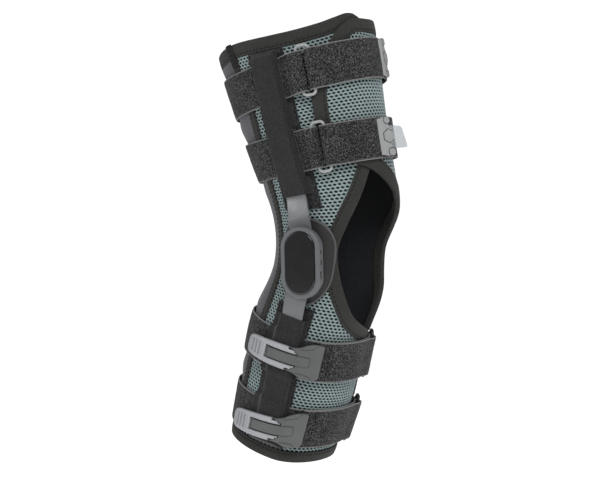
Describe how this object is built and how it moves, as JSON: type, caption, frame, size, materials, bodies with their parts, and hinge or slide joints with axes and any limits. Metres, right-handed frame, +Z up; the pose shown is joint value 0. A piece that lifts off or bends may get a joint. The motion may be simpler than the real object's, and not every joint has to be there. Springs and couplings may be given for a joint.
{
  "type": "hinged knee brace",
  "caption": "Wrap-round knee ligament brace: mesh sleeve with kneecap opening, side hinges with bars in pockets, and ring straps closed with pull tabs and buckles.",
  "frame": {"origin": "middle of the knee, on the leg's axis, level with the bend", "axes": "+Z up the standing leg, -Y towards the kneecap, -X towards the outer side of a right leg"},
  "size_m": [0.1618, 0.1789, 0.4236],
  "materials": {
    "mesh": "teal-grey open spacer mesh",
    "stretch": "smooth dark stretch knit",
    "tape": "black binding tape",
    "pocket": "soft black brushed cloth",
    "strap": "black loop-pile strap",
    "arm": "grey satin coat",
    "housing": "slate grey satin",
    "cap": "glossy black",
    "pad": "dark grey moulded",
    "ring": "light grey",
    "tab": "grey, bare",
    "pull": "clear",
    "buckle": "dark grey, bare",
    "grip": "light grey ribbed"
  },
  "bodies": {
    "root": {"outer_panel": "mesh", "inner_panel": "mesh", "back_panel": "stretch", "outer_binding": "tape", "inner_top_binding": "tape", "flap_binding": "tape", "inner_opening_binding": "tape", "back_top_binding": "tape", "bottom_binding": "tape", "outer_seam_tape": "tape", "inner_seam_tape": "tape", "calf_seam_tape": "tape", "outer_thigh_pocket_base": "pocket", "outer_thigh_arm": "arm", "outer_thigh_pocket_cover": "pocket", "outer_calf_pocket_base": "pocket", "outer_calf_arm": "arm", "outer_calf_pocket_cover": "pocket", "outer_condyle_pad": "pad", "outer_hinge_plate": "housing", "outer_hinge_housing": "housing", "outer_hinge_cap": "cap", "inner_thigh_pocket_base": "pocket", "inner_thigh_arm": "arm", "inner_thigh_pocket_cover": "pocket", "inner_calf_pocket_base": "pocket", "inner_calf_arm": "arm", "inner_calf_pocket_cover": "pocket", "inner_condyle_pad": "pad", "inner_hinge_plate": "housing", "inner_hinge_housing": "housing", "inner_hinge_cap": "cap", "thigh_strap_upper": "strap", "thigh_strap_upper_ring": "ring", "thigh_strap_upper_tab": "tab", "thigh_strap_upper_pull": "pull", "thigh_strap_lower": "strap", "thigh_strap_lower_ring": "ring", "thigh_strap_lower_tab": "tab", "thigh_strap_lower_pull": "pull", "calf_strap_upper": "strap", "calf_strap_upper_ring": "ring", "calf_strap_upper_buckle": "buckle", "calf_strap_upper_grip": "grip", "calf_strap_lower": "strap", "calf_strap_lower_ring": "ring", "calf_strap_lower_buckle": "buckle", "calf_strap_lower_grip": "grip"}
  },
  "joints": []
}
